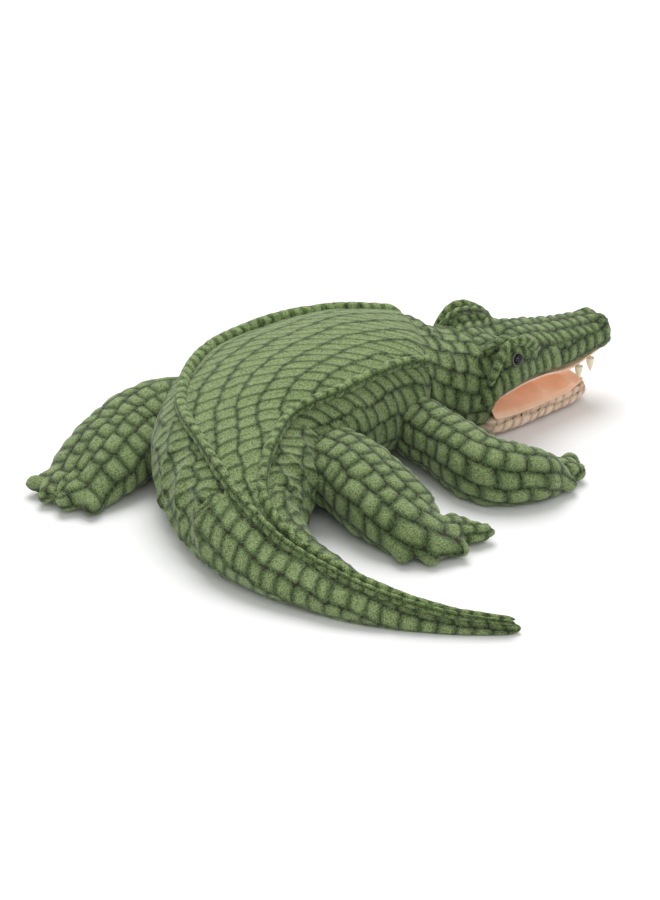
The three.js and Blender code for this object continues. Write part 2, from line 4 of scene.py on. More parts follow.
import bpy
import numpy as np
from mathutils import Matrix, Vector


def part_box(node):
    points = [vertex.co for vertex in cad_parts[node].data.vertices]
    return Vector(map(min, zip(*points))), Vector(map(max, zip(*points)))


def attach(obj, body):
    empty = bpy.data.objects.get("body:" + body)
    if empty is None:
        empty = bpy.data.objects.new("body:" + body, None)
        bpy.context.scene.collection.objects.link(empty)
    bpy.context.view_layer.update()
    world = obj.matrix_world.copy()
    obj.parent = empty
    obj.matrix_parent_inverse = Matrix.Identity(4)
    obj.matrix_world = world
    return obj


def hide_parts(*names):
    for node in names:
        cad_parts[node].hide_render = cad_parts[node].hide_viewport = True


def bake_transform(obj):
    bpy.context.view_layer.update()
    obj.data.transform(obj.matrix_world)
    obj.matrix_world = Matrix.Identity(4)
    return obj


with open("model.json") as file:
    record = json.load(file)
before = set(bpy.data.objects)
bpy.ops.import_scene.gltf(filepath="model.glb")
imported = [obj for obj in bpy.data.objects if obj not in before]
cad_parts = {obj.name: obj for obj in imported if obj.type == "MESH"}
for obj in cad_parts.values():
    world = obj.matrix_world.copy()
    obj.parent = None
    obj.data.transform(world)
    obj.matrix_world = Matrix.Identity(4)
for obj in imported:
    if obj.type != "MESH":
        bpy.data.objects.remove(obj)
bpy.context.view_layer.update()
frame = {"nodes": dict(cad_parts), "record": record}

# A plush alligator hand puppet. Each fabric piece is a lofted or remeshed form in millimetres of the
# design's own axes, with its scales raised one by one, and is moved into the row frame at the end.

REST = frame["record"]["mounts"][0]["pos_m"]
REST_ON_PLAN = (96.0, 62.0, 0.0)      # the belly's resting point in the design's own axes, mm
ORIGIN = np.array(REST) * 1000.0 - np.array(REST_ON_PLAN)

# ---- design stations, mm

# Whole animal from tail tip to neck: x, y, half width, height, half ridge distance, squareness.
BODY = [
    (-43, -192, 3.4, 7.5, 1.6, 0.95),
    (-65, -161, 7.2, 11, 2.3, 0.95),
    (-81, -128, 12.8, 16.5, 2.9, 0.95),
    (-90, -95, 20, 22, 3.5, 0.95),
    (-92, -62, 27, 28.5, 4.0, 0.95),
    (-93, -38, 31, 35, 5, 0.92),
    (-88, -13, 36, 44.5, 6.5, 0.86),
    (-77, 8, 42, 54.5, 12, 0.82),
    (-57, 32, 52, 66, 23, 0.8),
    (-18, 64, 65, 78, 42.5, 0.82),
    (33, 76, 75, 86, 57, 0.82),
    (90, 68, 72, 89, 56, 0.82),
    (128, 50, 62, 86, 48, 0.82),
    (146, 38, 52, 80, 40, 0.82),
]
TORSO_FROM = 6.6 / 13                 # fraction of the path where the tail skin hands over
TAIL_OVERLAP = 0.02                   # how much further the tail skin reaches into the torso
MIDDLE = 0.43                         # height of the widest place, as a part of the top
FLOOR_PRESS = 3.0
BELLY_SEAM = 2.1
HEAD_AT = (184.0, 3.0)
HEAD_TURN = math.radians(-19.5)
JAW_PIVOT = (-21.0, 24.0)
MESH_STEP = 1.15                      # spacing of the fabric meshes
RUMP_TO = 0.665                       # the gathered rump ends at this fraction of the path
OPENING = {"t": 0.79, "long": 112, "wide": 84, "corner": 30}

LEGS = {
    "front_right": {
        "path": [(101, 24, 21, 52, 10), (93, -24, 21, 49, 4), (87, -66, 23, 43, 0),
                 (102, -90, 20.5, 39, 0), (120, -97, 17.5, 31, 0), (132, -99, 14.5, 21, 0)],
        "toes": [(140, -86, 50, 12, 9), (150, -94, 8, 13, 8), (141, -104, -28, 12, 8),
                 (126, -108, -66, 11, 8)],
        "paw": (136, -97, 13, 12, 10),
    },
    "front_left": {
        "path": [(126, 80, 21, 52, 10), (141, 122, 21, 48, 4), (157, 148, 21, 41, 0),
                 (180, 157, 19, 35, 0), (202, 156, 16.5, 26, 0), (213, 154, 14.5, 19, 0)],
        "toes": [(214, 143, -54, 11, 8), (224, 150, -15, 12, 8), (225, 162, 20, 12, 8),
                 (212, 168, 60, 11, 8)],
        "paw": (214, 155, 13, 13, 10),
    },
    "rear_right": {
        "path": [(12, 40, 30, 55, 10), (9, -12, 31, 54, 5), (2, -48, 30, 44, 0),
                 (2, -72, 29.5, 33, 0), (9, -86, 28, 23, 0), (16, -91, 22, 18, 0)],
        "toes": [(-20, -80, -138, 12, 8.5), (-12, -95, -115, 12, 8.5), (5, -104, -92, 12, 8.5),
                 (27, -100, -42, 17, 9)],
        "paw": (8, -90, 27, 14, 11),
    },
    "rear_left": {
        "path": [(4, 96, 31, 53, 10), (2, 145, 33, 52, 4), (-27, 154, 35, 49, 0),
                 (-62, 149, 35, 41, 0), (-89, 146, 33, 30, 0), (-105, 146, 29, 20, 0)],
        "toes": [(-107, 122, -155, 12, 8.5), (-114, 138, -172, 12, 8.5), (-115, 155, 172, 12, 8.5),
                 (-109, 170, 150, 13, 8.5)],
        "paw": (-103, 146, 15, 27, 11),
    },
}
# Printed scales by region: size across and along in mm, jitter, height of the padding, and how
# thin the printed line is.
SCALES = {
    "back": ((15.0, 12.0), 0.08, 1.2, 1.5),
    "flank": ((17.0, 10.0), 0.12, 2.1, 1.2),
    "rump": ((18.0, 10.0), 0.16, 2.6, 1.2),
    "tail": ((15.0, 11.5), 0.1, 1.9, 1.0),
    "belly": ((15.0, 12.0), 0.14, 0.8, 1.4),
}

TOE_HEIGHT = 8.0
TOE_ROOT = 5.0                        # how far a toe reaches back into the paw

# Upper jaw in the head's own frame: u, half width, top, squareness.
HEAD = [
    (-31, 37.5, 72, 0.62),
    (-4, 38, 71, 0.6),
    (22, 32.5, 69.5, 0.72),
    (48, 27.5, 67, 0.8),
    (72, 23.5, 65, 0.82),
    (92, 21, 64.5, 0.85),
    (108, 18, 63, 0.9),
]
SIDE_BELOW = 0.62                     # a lower upward normal than this belongs to the head's side
HEAD_FROM = -31.0
HEAD_TO = 104.5
NECK_LEAN = 0.26
EYE_AT = (-1.5, 38.8, 64.0)

# Lower jaw: u, half width, lip height, underside.
CHIN = [
    (-20, 34, 16.8, 0.4),
    (10, 31, 15.2, 0.4),
    (42, 25, 14.8, 0.5),
    (65, 20.5, 15.6, 1.2),
    (84, 15, 16.6, 2.6),
]

MOUTH_BACK = 12.5                     # how far the lining climbs at the back of the mouth

# Edge of the upper lip: u, height.
LIP = [(-21, 25), (-14, 31), (2, 37), (28, 38), (60, 36.5), (88, 41), (108, 43)]

CAMERA = {"from": (-50.0, 28.0), "target": (0.0, 0.0, 36.0), "distance": 1.52, "lens": 89.4,
          "shift_y": 0.0167}
FLOOR_REACH = 4000
WORLD_LIGHT = 0.6
LAMPS = [
    ("key", (0.9, 1.0, 2.5), 2.2, 60.0),
    ("fill", (-1.2, -1.4, 1.8), 1.8, 8.0),
]


# ---- numbers on curves

def spline(rows, t):
    """Smooth curve through rows of numbers, with t from 0 to 1."""
    rows = np.asarray(rows, float)
    last = len(rows) - 1
    x = np.clip(np.asarray(t, float), 0, 1) * last
    i = np.minimum(x.astype(int), last - 1)
    f = (x - i)[..., None]
    a, b, c, d = (rows[np.clip(i + k, 0, last)] for k in (-1, 0, 1, 2))
    return 0.5 * (2 * b + (c - a) * f + (2 * a - 5 * b + 4 * c - d) * f ** 2
                  + (3 * b - a - 3 * c + d) * f ** 3)


def curve(rows, u):
    """The later numbers of rows whose first number is a distance, at any distances."""
    rows = np.asarray(rows, float)
    return spline(rows[:, 1:], np.interp(u, rows[:, 0], np.linspace(0, 1, len(rows))))


def signed_power(value, exponent):
    return np.sign(value) * np.abs(value) ** exponent


def unit(vectors):
    return vectors / np.maximum(np.linalg.norm(vectors, axis=-1, keepdims=True), 1e-9)


def lateral(rows, t):
    """Unit vectors to the left of a path in plan."""
    ahead, behind = (spline(rows, np.clip(t + near, 0, 1))[..., :2] for near in (0.004, -0.004))
    step = unit(ahead - behind)
    return np.stack([-step[..., 1], step[..., 0]], axis=-1)


def smoothstep(low, high, value):
    f = np.clip((value - low) / (high - low), 0, 1)
    return f * f * (3 - 2 * f)


def lattice_random(i, j, k, seed):
    n = (i * 73856093) ^ (j * 19349663) ^ (k * 83492791) ^ (seed * 2654435761)
    n = n & 0x7FFFFFFF
    n = (n ^ (n >> 13)) * 1274126177 & 0x7FFFFFFF
    return (n ^ (n >> 16)) / 0x3FFFFFFF - 1.0


def field(points, size, seed):
    """Smooth random field from -1 to 1, with features of about that size."""
    q = points / size
    i = np.floor(q).astype(np.int64)
    f = q - i
    f = f * f * (3 - 2 * f)
    total = 0
    for dx in (0, 1):
        for dy in (0, 1):
            for dz in (0, 1):
                weight = (abs(1 - dx - f[..., 0]) * abs(1 - dy - f[..., 1]) * abs(1 - dz - f[..., 2]))
                total = total + weight * lattice_random(i[..., 0] + dx, i[..., 1] + dy, i[..., 2] + dz, seed)
    return total


# ---- surfaces

def body_point(t, angle, inset=0.0):
    """The animal's outer surface, t from tail tip to neck, angle 0 on top and positive to the left."""
    s = spline(BODY, t)
    x, y, half, top, boxy = s[..., 0], s[..., 1], s[..., 2], s[..., 3], s[..., 5]
    middle = MIDDLE * top
    reach = np.where(np.cos(angle) > 0, top - middle, middle + FLOOR_PRESS)
    v = (half - inset) * signed_power(np.sin(angle), boxy)
    z = middle + (reach - inset) * signed_power(np.cos(angle), boxy)
    left = lateral(BODY, t)
    return np.stack([x + left[..., 0] * v, y + left[..., 1] * v, np.maximum(z, 0.4)], axis=-1)


def ridge_angle(t):
    s = spline(BODY, t)
    return np.arcsin(np.clip(s[..., 4] / s[..., 2], 0, 1) ** (1 / s[..., 5]))


def head_point(u, v, z):
    """From the head's own frame: u forward, v left, z up."""
    c, s = math.cos(HEAD_TURN), math.sin(HEAD_TURN)
    u, v, z = np.broadcast_arrays(np.asarray(u, float), v, z)
    return np.stack([HEAD_AT[0] + c * u - s * v, HEAD_AT[1] + s * u + c * v, z], axis=-1)


def upper_lip(u):
    return curve(LIP, u)[..., 0]


def grid_normals(grid, wrap):
    along = np.gradient(grid, axis=0)
    if wrap:
        around = (np.roll(grid, -1, axis=1) - np.roll(grid, 1, axis=1)) / 2
    else:
        around = np.gradient(grid, axis=1)
    return unit(np.cross(around, along))


# ---- printed, padded scales

def wander(line, place, seed):
    """Smooth wandering, from -1 to 1, of numbered lines along a place counted in scales."""
    i = np.floor(place).astype(np.int64)
    f = place - i
    f = f * f * (3 - 2 * f)
    return lattice_random(line, i, 0 * i, seed) * (1 - f) + lattice_random(line, i + 1, 0 * i, seed) * f


def cells(around, along, pitch, jitter=0.1, corner=1.0, seed=1):
    """Printed scales: rounded bricks in staggered columns, for mm around and along the fabric.

    Returns the distance in mm to the scale's border, and the scale's own random tone."""
    x = around / pitch[0]
    s = along / pitch[1]
    column = np.floor(x).astype(np.int64)
    column = column - (x < column + jitter * wander(column, s, seed))
    column = column + (x > column + 1 + jitter * wander(column + 1, s, seed))
    left = column + jitter * wander(column, s, seed)
    right = column + 1 + jitter * wander(column + 1, s, seed)
    across = (x - left) / (right - left) - 0.5
    zero = 0 * column
    stagger = 0.5 * (column % 2) + 0.22 * lattice_random(column, zero, zero, seed + 40)
    slope = 0.12 * across * lattice_random(column, zero, zero, seed + 41)
    y = s - stagger + 0.45 * across ** 2 + slope
    row = np.floor(y).astype(np.int64)
    row = row - (y < row + jitter * lattice_random(column, row, 0 * row + 1, seed))
    row = row + (y > row + 1 + jitter * lattice_random(column, row + 1, 0 * row + 1, seed))
    low = row + jitter * lattice_random(column, row, 0 * row + 1, seed)
    high = row + 1 + jitter * lattice_random(column, row + 1, 0 * row + 1, seed)
    aside = np.minimum(x - left, right - x) * pitch[0]
    ahead = np.minimum(y - low, high - y) * pitch[1]
    edge = -corner * np.log(np.exp(-aside / corner) + np.exp(-ahead / corner))
    return edge, 0.5 + 0.5 * lattice_random(column, row, 0 * row + 2, seed)


def creases(slant, spacing, depth, width):
    """Evenly spaced folds pressed into the fabric, across a slanting distance."""
    return -depth * np.exp(-((slant % spacing - spacing / 2) / width) ** 2)


def drift(points, size, seed):
    """Smooth random movement in all three directions."""
    return np.stack([field(points, size, seed + k) for k in range(3)], axis=-1)


def pile(points):
    """Tufts of the short pile, which roughen the outline."""
    return 0.16 * field(points, 1.3, 11) + 0.14 * field(points, 2.4, 12)


def puff(edge, height, width=3.0):
    return height * (1 - np.exp(-(np.maximum(edge, 0) / width) ** 1.3))


# ---- objects

def to_frame(points):
    return (np.asarray(points) + ORIGIN) / 1000.0


def linked(name, data):
    obj = bpy.data.objects.new(name, data)
    bpy.context.scene.collection.objects.link(obj)
    return obj


def plain_object(name, points, faces):
    """An object whose vertices are exactly these points."""
    mesh = bpy.data.meshes.new(name)
    mesh.from_pydata(np.asarray(points).reshape(-1, 3).tolist(), [], faces)
    return linked(name, mesh)


def new_object(name, points, faces, attributes=None):
    """A smooth piece in the row frame, from points in the design's millimetres."""
    obj = plain_object(name, to_frame(points), faces)
    for key, values in (attributes or {}).items():
        layer = obj.data.attributes.new(key, "FLOAT", "POINT")
        layer.data.foreach_set("value", np.asarray(values, np.float32).ravel())
    obj.data.polygons.foreach_set("use_smooth", [True] * len(obj.data.polygons))
    obj.data.update()
    return obj


def grid_faces(rows, columns, wrap, first_cap=False, last_cap=False):
    i, j = np.meshgrid(np.arange(rows - 1), np.arange(columns if wrap else columns - 1), indexing="ij")
    k = (j + 1) % columns
    corners = [i * columns + j, (i + 1) * columns + j, (i + 1) * columns + k, i * columns + k]
    quads = np.stack(corners, axis=-1)
    faces = quads.reshape(-1, 4).tolist()
    if first_cap:
        faces.append(list(range(columns)))
    if last_cap:
        faces.append([(rows - 1) * columns + c for c in reversed(range(columns))])
    return faces


def paint(obj, material):
    obj.data.materials.clear()
    obj.data.materials.append(material)
    return obj


def path_length(points):
    steps = np.linalg.norm(np.diff(points, axis=0), axis=-1)
    return np.concatenate([np.zeros_like(steps[:1]), np.cumsum(steps, axis=0)])


def mesh_arrays(obj):
    """Points and quads of an object with its modifiers applied, and the object removed."""
    shown = obj.evaluated_get(bpy.context.evaluated_depsgraph_get())
    mesh = bpy.data.meshes.new_from_object(shown)
    points = np.empty(len(mesh.vertices) * 3)
    mesh.vertices.foreach_get("co", points)
    faces = [list(polygon.vertices) for polygon in mesh.polygons]
    bpy.data.objects.remove(obj)
    bpy.data.meshes.remove(mesh)
    return points.reshape(-1, 3), faces


def relaxed(points, faces, rounds):
    """Points moved towards the middle of their neighbours."""
    corners = np.array([face for face in faces if len(face) == 4])
    pairs = np.concatenate([corners[:, [k, (k + 1) % 4]] for k in range(4)])
    pairs = np.concatenate([pairs, pairs[:, ::-1]])
    count = np.bincount(pairs[:, 0], minlength=len(points))[:, None]
    for _ in range(rounds):
        total = np.stack([np.bincount(pairs[:, 0], points[pairs[:, 1], axis], len(points))
                          for axis in range(3)], axis=-1)
        points = 0.5 * points + 0.5 * total / np.maximum(count, 1)
    return points


def point_normals(points, faces):
    corners = np.array([face for face in faces if len(face) == 4])
    a, b, c, d = (points[corners[:, k]] for k in range(4))
    normal = np.cross(c - a, d - b)
    total = np.zeros_like(points)
    for axis in range(3):
        for k in range(4):
            total[:, axis] += np.bincount(corners[:, k], normal[:, axis], len(points))
    return unit(total)


def remeshed(forms, voxel, rounds):
    """One closed, smooth skin round several closed forms."""
    points = np.concatenate([form[0].reshape(-1, 3) for form in forms])
    faces = []
    start = 0
    for form_points, form_faces in forms:
        faces += [[start + k for k in face] for face in form_faces]
        start += form_points.reshape(-1, 3).shape[0]
    obj = plain_object("form", points, faces)
    remesh = obj.modifiers.new("skin", "REMESH")
    remesh.mode = "VOXEL"
    remesh.voxel_size = voxel
    points, faces = mesh_arrays(obj)
    return relaxed(points, faces, rounds), faces


def end_scale(place, start, end):
    """Size of a section from -1 to 1 along a stuffed form: full between two blunt, round ends."""
    blunt = np.where(place < 0, start, end)
    return np.maximum(1 - np.abs(place) ** blunt, 1e-4) ** (1 / blunt)


def ring(columns):
    """Angles round a section, from underneath and back."""
    return np.linspace(-math.pi, math.pi, columns, endpoint=False)


def ellipsoid(centre, size, heading=0.0):
    rows, columns, pole = 14, 24, 0.05
    polar = np.linspace(pole, math.pi - pole, rows)[:, None]
    turn = np.linspace(0, 2 * math.pi, columns, endpoint=False)[None]
    x = size[0] * np.sin(polar) * np.cos(turn)
    y = size[1] * np.sin(polar) * np.sin(turn)
    z = size[2] * np.cos(polar) * np.ones_like(turn)
    c, s = math.cos(heading), math.sin(heading)
    points = np.stack([centre[0] + c * x - s * y, centre[1] + s * x + c * y, centre[2] + z], axis=-1)
    return points, grid_faces(rows, columns, True, True, True)


# ---- materials

def nodes_of(name):
    material = bpy.data.materials.new(name)
    material.use_nodes = True
    tree = material.node_tree
    return material, tree, tree.nodes["Principled BSDF"]


def add(tree, kind, **values):
    node = tree.nodes.new(kind)
    for key, value in values.items():
        setattr(node, key, value)
    return node


def wire(tree, source, node, socket):
    tree.links.new(source, node.inputs[socket])


def noise(tree, size, detail=2.0):
    """Noise with features of about that size in mm, as a number from 0 to 1."""
    place = add(tree, "ShaderNodeTexCoord")
    node = add(tree, "ShaderNodeTexNoise")
    node.inputs["Scale"].default_value = 1000.0 / size
    node.inputs["Detail"].default_value = detail
    wire(tree, place.outputs["Object"], node, "Vector")
    return node.outputs["Fac"]


def attribute(tree, name):
    return add(tree, "ShaderNodeAttribute", attribute_name=name).outputs["Fac"]


def ramp(tree, value, low, high, to_low=0.0, to_high=1.0):
    node = add(tree, "ShaderNodeMapRange", interpolation_type="SMOOTHSTEP")
    wire(tree, value, node, "Value")
    for key, number in zip(("From Min", "From Max", "To Min", "To Max"), (low, high, to_low, to_high)):
        node.inputs[key].default_value = number
    return node.outputs["Result"]


def math_node(tree, operation, a, b):
    node = add(tree, "ShaderNodeMath", operation=operation)
    for socket, value in zip((0, 1), (a, b)):
        if isinstance(value, float):
            node.inputs[socket].default_value = value
        else:
            tree.links.new(value, node.inputs[socket])
    return node.outputs[0]


def linear(rgb):
    """An everyday 0 to 255 colour as the shader's linear colour."""
    parts = [value / 255 for value in rgb]
    return [((p + 0.055) / 1.055) ** 2.4 if p > 0.04045 else p / 12.92 for p in parts] + [1.0]


def scaled(tree, colour, factor):
    node = add(tree, "ShaderNodeVectorMath", operation="SCALE")
    wire(tree, colour, node, 0)
    wire(tree, factor, node, "Scale")
    return node.outputs[0]


def mix(tree, amount, a, b, blend="MIX"):
    node = add(tree, "ShaderNodeMix", data_type="RGBA", blend_type=blend)
    if isinstance(amount, float):
        node.inputs[0].default_value = amount
    else:
        tree.links.new(amount, node.inputs[0])
    for socket, value in ((6, a), (7, b)):
        if isinstance(value, (list, tuple)):
            node.inputs[socket].default_value = value
        else:
            tree.links.new(value, node.inputs[socket])
    return node.outputs[2]


def bump(tree, shader, height, depth_mm, strength=0.8):
    node = add(tree, "ShaderNodeBump")
    node.inputs["Strength"].default_value = strength
    node.inputs["Distance"].default_value = depth_mm / 1000
    wire(tree, height, node, "Height")
    wire(tree, node.outputs["Normal"], shader, "Normal")


def cloth_finish(shader, sheen):
    shader.inputs["Sheen Weight"].default_value = sheen
    shader.inputs["Sheen Roughness"].default_value = 0.45
    shader.inputs["Specular IOR Level"].default_value = 0.15


def printed_plush(name, light, dark, line, border, speckle=0.55, fray=0.45):
    """Short-pile plush with scales printed on it: lines where the 'edge' attribute is small, and painted
    shading of each padded scale, lighter in its middle and darker near its lines.
    """
    material, tree, shader = nodes_of(name)
    cloth_finish(shader, 0.22)
    grain = noise(tree, 1.0, 3.0)
    patches = noise(tree, 16, 2.0)
    # Painted highlight: each padded scale is coloured lighter towards its middle, away from its printed
    # lines.
    painted_dome_light = ramp(tree, attribute(tree, "edge"), 0.5, 4.5, 0.0, 0.55)
    own = math_node(tree, "MULTIPLY", attribute(tree, "tone"), 0.2)
    tone = math_node(tree, "ADD", math_node(tree, "ADD", painted_dome_light, own),
                     math_node(tree, "MULTIPLY", patches, 0.4))
    body = mix(tree, ramp(tree, tone, 0.1, 0.85), linear(dark), linear(light))
    shade = ramp(tree, grain, 0.32, 0.62, 1.0 - speckle, 1.0 + 0.4 * speckle)
    ragged = math_node(tree, "ADD", attribute(tree, "edge"),
                       ramp(tree, noise(tree, 2.2, 2.0), 0.25, 0.75, -fray, fray))
    inside = ramp(tree, ragged, *border)
    # Painted shade: the colour darkens near the printed lines, in the grooves between the padded scales.
    painted_groove_shade = ramp(tree, ragged, border[1], border[1] + 1.8, 0.7, 1.0)
    cloth = scaled(tree, scaled(tree, body, shade), painted_groove_shade)
    wire(tree, mix(tree, inside, linear(line), cloth), shader, "Base Color")
    wire(tree, ramp(tree, grain, 0.2, 0.8, 0.78, 1.0), shader, "Roughness")
    pile_height = math_node(tree, "ADD", noise(tree, 0.8, 2.0), noise(tree, 2.6, 2.0))
    bump(tree, shader, pile_height, 0.7)
    return material


def plain_cloth(name, light, dark, pile_size, weave=None, sheen=0.2):
    material, tree, shader = nodes_of(name)
    cloth_finish(shader, sheen)
    patches = noise(tree, 14, 3.0)
    grain = noise(tree, pile_size, 3.0)
    body = mix(tree, ramp(tree, patches, 0.3, 0.7), linear(dark), linear(light))
    height = grain
    if weave:
        place = add(tree, "ShaderNodeTexCoord")
        threads = add(tree, "ShaderNodeTexWave", bands_direction="DIAGONAL")
        threads.inputs["Scale"].default_value = 160 / weave
        threads.inputs["Distortion"].default_value = 1.5
        wire(tree, place.outputs["Object"], threads, "Vector")
        height = math_node(tree, "ADD", grain, threads.outputs["Fac"])
    shaded = mix(tree, 0.35, body, mix(tree, height, linear(dark), linear(light)), "MULTIPLY")
    wire(tree, mix(tree, 0.7, shaded, body), shader, "Base Color")
    wire(tree, ramp(tree, grain, 0.2, 0.8, 0.75, 1.0), shader, "Roughness")
    bump(tree, shader, height, 0.35)
    return material


def moulded(name, colour, roughness, reflection=0.5):
    material, tree, shader = nodes_of(name)
    shader.inputs["Specular IOR Level"].default_value = reflection
    dust = ramp(tree, noise(tree, 3.5, 4.0), 0.35, 0.8)
    worn = linear([min(channel + 8, 255) for channel in colour])
    wire(tree, mix(tree, dust, linear(colour), worn), shader, "Base Color")
    wire(tree, ramp(tree, noise(tree, 1.2, 2.0), 0.3, 0.7, roughness, roughness + 0.12), shader, "Roughness")
    bump(tree, shader, noise(tree, 0.9, 2.0), 0.03, 0.3)
    return material


GREEN = {"light": (134, 152, 102), "dark": (92, 114, 70), "line": (50, 50, 36)}
LOOKS = {
    "plush": printed_plush("scale_plush", **GREEN, border=(-0.1, 0.7)),
    # The ridges use a lighter, yellower copy of the scale plush: painted highlight along the ridge tops.
    "ridge": printed_plush("ridge_plush", (138, 158, 104), (100, 124, 72), (56, 58, 38),
                           border=(0.0, 0.75), speckle=0.6),
    "belly": printed_plush("belly_plush", (246, 220, 196), (236, 204, 176), (48, 36, 30),
                           border=(-0.02, 0.26), speckle=0.14, fray=0.1),
    "mouth": plain_cloth("mouth_velour", (255, 224, 198), (251, 208, 178), 1.2),
    "lining": plain_cloth("sleeve_cloth", (66, 82, 60), (44, 58, 42), 1.0, weave=1.2),
    "felt": plain_cloth("tooth_felt", (250, 240, 212), (226, 208, 166), 0.9),
    "board": plain_cloth("fibre_board", (196, 178, 146), (160, 140, 108), 0.6, sheen=0.0),
    "eye": moulded("eye_gloss", (5, 5, 6), 0.04, 0.6),
    "rim": moulded("eye_rim", (104, 106, 98), 0.3),
    "washer": moulded("washer_plastic", (30, 30, 30), 0.45),
}


# ---- body skins

def body_along(t):
    """Distance in mm along the middle line."""
    fine = np.linspace(0, 1, 2000)
    return np.interp(t, fine, path_length(spline(BODY, fine)[:, :2]))


def body_rows(start, end, step):
    fine = np.linspace(start, end, 2000)
    length = path_length(spline(BODY, fine)[:, :2])
    return np.interp(np.linspace(0, length[-1], int(length[-1] / step)), length, fine)


def ring_angles(t, fine_limit, step, coarse):
    """Angles round a section, closer together where the skin is seen."""
    full = np.linspace(0, math.pi, 1500)
    length = path_length(body_point(np.full_like(full, t), full))
    seen = np.interp(fine_limit, full, length)
    places = np.concatenate([np.arange(0, seen, step), np.arange(seen, length[-1], coarse)])
    half = np.interp(places, length, full)
    return np.concatenate([-half[:0:-1], half])


def scale_pattern(points, t, angle, around, along):
    """Printed scales of the back, the flanks, the rump, the tail and the belly."""
    ridge = ridge_angle(t)
    side = np.abs(angle)
    top_line = np.abs(around)
    from_ridge = top_line - np.take_along_axis(
        top_line, np.argmin(np.abs(angle - ridge), axis=1)[:, None], 1)
    a = around + 1.6 * field(points, 26, 21)
    s = along + 1.6 * field(points, 26, 22)
    hand = np.where(angle > 0, 1000.0, 0.0)
    down = from_ridge + hand + 1.4 * field(points, 22, 23)
    places = {
        "back": (a, s + 0.2 * a),
        "flank": (down, s),
        "rump": (down + 0.35 * s, s - 0.35 * down),
        "tail": (down, s),
        "belly": (a, s),
    }
    regions = list(SCALES)
    printed = [cells(*places[region], *SCALES[region][:2], seed=3 + k) for k, region in enumerate(regions)]
    masks = {"back": side < ridge, "belly": side > BELLY_SEAM, "tail": t < TORSO_FROM, "rump": t < RUMP_TO}
    choice = np.select(list(masks.values()), [regions.index(name) for name in masks], regions.index("flank"))
    edge, tone = (np.choose(choice, [pattern[k] for pattern in printed]) for k in (0, 1))
    height, thin = (np.choose(choice, [row[k] for row in SCALES.values()]) for k in (2, 3))
    mm_per_radian = 40
    seam = np.minimum(np.abs(side - ridge), np.abs(side - BELLY_SEAM)) * mm_per_radian
    return np.minimum(edge, seam) * thin + np.where(choice == 0, 0.15, 0.0), tone, height


def body_skin(start, end, fine_limit, step, coarse, widest):
    """Printed plush round a stretch of the body, as a ring mesh."""
    t = body_rows(start, end, step)
    angles = ring_angles(widest, fine_limit, step, coarse)
    t_grid, angle = np.meshgrid(t, angles, indexing="ij")
    grid = body_point(t_grid, angle)
    normal = grid_normals(grid, True)
    around = path_length(np.swapaxes(grid, 0, 1)).T
    around = around - around[:, len(angles) // 2][:, None]
    edge, tone, height = scale_pattern(grid, t_grid, angle, around, path_length(grid))
    fold = fold_height(grid, t_grid, angle, around)
    lift = blurred(puff(edge, height * (0.75 + 0.5 * tone)) + fold) + pile(grid)
    resting = smoothstep(0.0, 5.0, grid[..., 2])
    spacing = np.linalg.norm(np.gradient(grid, axis=0), axis=-1)
    room = smoothstep(0.2, 0.75, spacing / step)
    shown = grid + normal * (lift * resting * room)[..., None]
    return t, angles, shown, {"edge": edge, "tone": tone}


def blurred(values):
    """A ring mesh's numbers averaged with their neighbours."""
    for _ in range(3):
        values = (values + np.roll(values, 1, axis=1) + np.roll(values, -1, axis=1)) / 3
        padded = np.pad(values, ((1, 1), (0, 0)), mode="edge")
        values = (padded[:-2] + padded[1:-1] + padded[2:]) / 3
    return values


def fold_height(points, t, angle, around):
    """Slack of the fabric: soft waves everywhere, deep slanting folds on the rump."""
    waves = 0.9 * field(points, 34, 31) + 0.5 * field(points, 15, 32)
    rump = smoothstep(RUMP_TO + 0.02, RUMP_TO - 0.05, t) * smoothstep(0.40, 0.50, t)
    rump = rump * smoothstep(0.1, 0.5, np.abs(angle) - ridge_angle(t))
    slant = np.abs(around) * 0.9 + body_along(t) * 1.1
    return waves + rump * creases(slant, 31.0, 4.0, 3.6)


def rolled_in(grid, depth, rows):
    """The last rows of a ring mesh tucked towards its middle."""
    for ends in (range(rows), range(len(grid) - 1, len(grid) - 1 - rows, -1)):
        for i, row in enumerate(ends):
            middle = grid[row].mean(axis=0)
            tuck = depth * (1 - i / rows) ** 2
            grid[row] -= unit(grid[row] - middle) * tuck
    return grid


def inside_opening(points):
    """True where a point is over the arm opening."""
    s = spline(BODY, OPENING["t"])
    left = lateral(BODY, np.array(OPENING["t"]))
    forward = np.array([left[1], -left[0]])
    offset = points[..., :2] - s[:2]
    x = np.abs(offset @ forward)
    y = np.abs(offset @ left)
    corner = OPENING["corner"]
    dx = np.maximum(x - (OPENING["long"] / 2 - corner), 0)
    dy = np.maximum(y - (OPENING["wide"] / 2 - corner), 0)
    return np.hypot(dx, dy) < corner


def cut_opening(points, faces):
    flat = points.reshape(-1, 3)
    gone = inside_opening(flat) & (flat[:, 2] < 14)
    return [face for face in faces if not all(gone[k] for k in face)]


def make_torso():
    t, angles, grid, attributes = body_skin(TORSO_FROM, 1.0, 2.2, MESH_STEP, 3.0, 0.8)
    grid = rolled_in(grid, 5.0, 7)
    faces = cut_opening(grid, grid_faces(len(t), len(angles), True))
    skin = new_object("torso_skin", grid, faces, attributes)
    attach(paint(skin, LOOKS["plush"]), "torso")
    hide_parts("back_panel", "flank_panel_left", "flank_panel_right", "belly_panel", "rump_stuffing")


